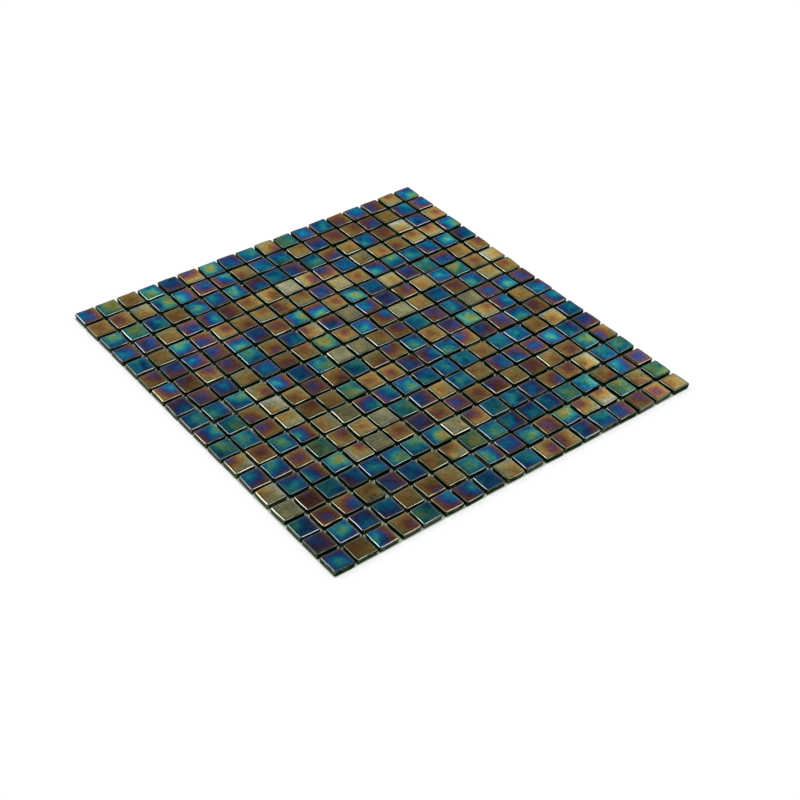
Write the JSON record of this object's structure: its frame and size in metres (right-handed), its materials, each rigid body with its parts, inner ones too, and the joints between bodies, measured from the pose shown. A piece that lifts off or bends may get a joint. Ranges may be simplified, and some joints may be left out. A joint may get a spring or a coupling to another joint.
{
  "type": "mosaic tile sheet",
  "caption": "Square sheet of small pressed glass mosaic chips with an iridescent film, laid in a grid with open joints on a fibre mesh.",
  "frame": {"origin": "middle of the sheet's underside, where the mesh lies on the floor or in the adhesive bed", "axes": "+Z out of the faces of the chips, +X along the columns, +Y along the rows"},
  "size_m": [0.2946, 0.2948, 0.0044],
  "materials": {
    "film_blue": "glossy dark glass with a blue metal-oxide film",
    "film_teal": "glossy dark glass with a teal metal-oxide film",
    "film_gold": "glossy dark glass with a gold metal-oxide film",
    "film_bronze": "glossy dark glass with a bronze metal-oxide film",
    "film_plum": "glossy dark glass with a plum metal-oxide film",
    "film_indigo": "glossy dark glass with an indigo metal-oxide film",
    "film_green": "glossy dark glass with a green metal-oxide film",
    "film_khaki": "glossy dark glass with a silvery khaki metal-oxide film",
    "mesh_thread": "white glass-fibre thread set with clear size"
  },
  "bodies": {
    "root": {"chips_blue": "film_blue", "chips_teal": "film_teal", "chips_gold": "film_gold", "chips_bronze": "film_bronze", "chips_plum": "film_plum", "chips_indigo": "film_indigo", "chips_green": "film_green", "chips_khaki": "film_khaki", "mesh_warp": "mesh_thread", "mesh_weft": "mesh_thread"}
  },
  "joints": []
}
